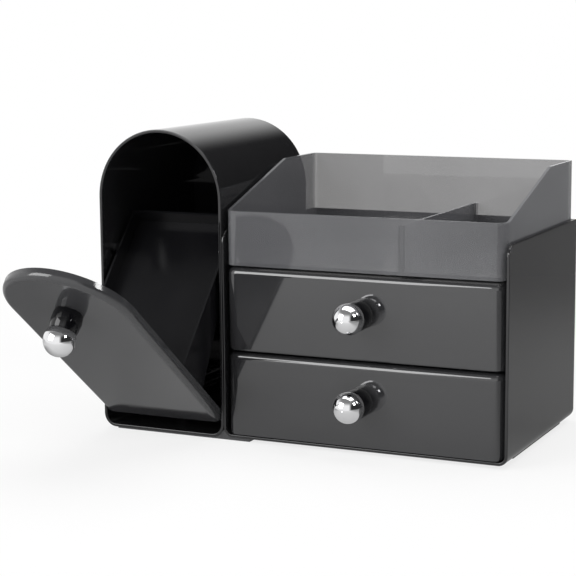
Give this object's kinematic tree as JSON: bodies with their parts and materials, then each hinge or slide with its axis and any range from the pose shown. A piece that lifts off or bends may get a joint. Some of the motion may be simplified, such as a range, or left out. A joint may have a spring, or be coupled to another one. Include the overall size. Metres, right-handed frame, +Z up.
{
  "type": "makeup organiser with brush tower and drawers",
  "caption": "Glossy black desktop organiser: an arched brush tower with a tilt-out door beside a cabinet with drawers under an open stepped tray, all with chrome ball knobs.",
  "frame": {"origin": "on the table plane, at the seam between the tower and the cabinet, half-way back along the tower", "axes": "+Z up; +X to the right of someone facing the fronts; +Y from the fronts to the back"},
  "size_m": [0.325, 0.328, 0.2305],
  "materials": {
    "smoked_black": "polished",
    "gloss_black": "polished",
    "smoked_clear": "polished",
    "knob_black": "polished",
    "chrome_ball": "polished",
    "steel": "plated",
    "black_trim": "satin",
    "rubber": "matte"
  },
  "bodies": {
    "housing": {"tower_casing": "smoked_black", "joining_rivets": "black_trim", "cabinet_casing": "smoked_black", "drawer_shelf": "smoked_black", "top_tray": "smoked_clear", "tray_partition": "smoked_clear", "joining_plate": "black_trim", "plate_screws": "steel", "foot_strip": "rubber"},
    "door": {"door_panel": "gloss_black", "left_hinge_pin": "steel", "right_hinge_pin": "steel", "brush_bucket": "gloss_black", "bucket_screws": "steel", "door_knob_collar": "knob_black", "door_knob_ball": "chrome_ball", "door_knob_screw": "steel"},
    "upper_drawer": {"upper_drawer_front": "gloss_black", "upper_drawer_box": "smoked_clear", "upper_drawer_screws": "steel", "upper_knob_collar": "knob_black", "upper_knob_ball": "chrome_ball", "upper_knob_screw": "steel"},
    "lower_drawer": {"lower_drawer_front": "gloss_black", "lower_drawer_box": "smoked_clear", "lower_drawer_screws": "steel", "lower_knob_collar": "knob_black", "lower_knob_ball": "chrome_ball", "lower_knob_screw": "steel"}
  },
  "joints": [
    {"name": "door_hinge", "type": "hinge", "parent": "housing", "child": "door", "pos_m": [-0.05175, -0.0708, 0.0151], "axis": [-1, 0, 0], "range_deg": [0, 52]},
    {"name": "upper_drawer_slide", "type": "slide", "parent": "housing", "child": "upper_drawer", "axis": [0, -1, 0], "range_m": [0, 0.11]},
    {"name": "lower_drawer_slide", "type": "slide", "parent": "housing", "child": "lower_drawer", "axis": [0, -1, 0], "range_m": [0, 0.11]}
  ]
}
